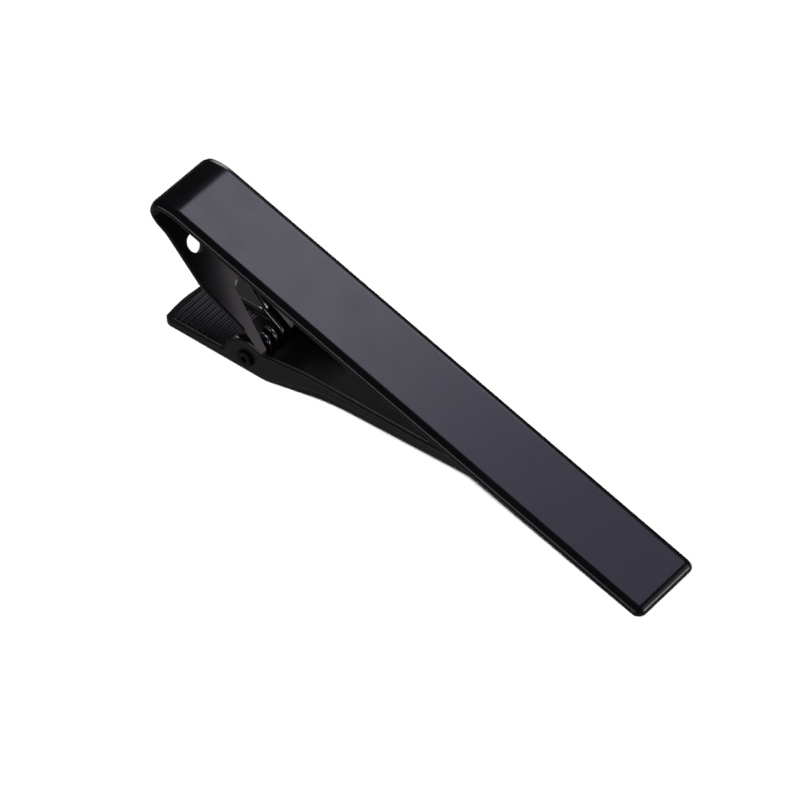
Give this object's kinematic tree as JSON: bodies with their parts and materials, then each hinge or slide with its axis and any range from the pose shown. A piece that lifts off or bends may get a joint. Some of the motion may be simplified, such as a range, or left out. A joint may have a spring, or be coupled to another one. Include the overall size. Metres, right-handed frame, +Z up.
{
  "type": "tie clip",
  "caption": "Tie clip: a flat black bar folded back into a short leg, with a sprung channel lever hinged on the leg that holds cloth against the bar's back.",
  "frame": {"origin": "under the middle of the clip's box, on the surface it lies on", "axes": "+X along the clip from the bend to the bar's tip, +Y across the bar, +Z up, away from the surface"},
  "size_m": [0.0562, 0.008, 0.0162],
  "materials": {
    "bar_lacquer": "satin black lacquer over a brass strip",
    "lever_lacquer": "satin black lacquer over stamped brass sheet",
    "pin_steel": "blackened steel rivet",
    "spring_wire": "blackened drawn spring wire"
  },
  "bodies": {
    "lever": {"clip_lever": "lever_lacquer", "pivot_pin": "pin_steel", "torsion_spring": "spring_wire"},
    "bar": {"front_bar": "bar_lacquer"}
  },
  "joints": [
    {"name": "clasp", "type": "hinge", "parent": "lever", "child": "bar", "pos_m": [-0.01744, 0, 0.00206], "axis": [0, -1, 0], "range_deg": [0, 40], "stiffness_Nm_per_rad": 0.015, "springref_deg": -80.21, "deforming": ["torsion_spring"]}
  ]
}
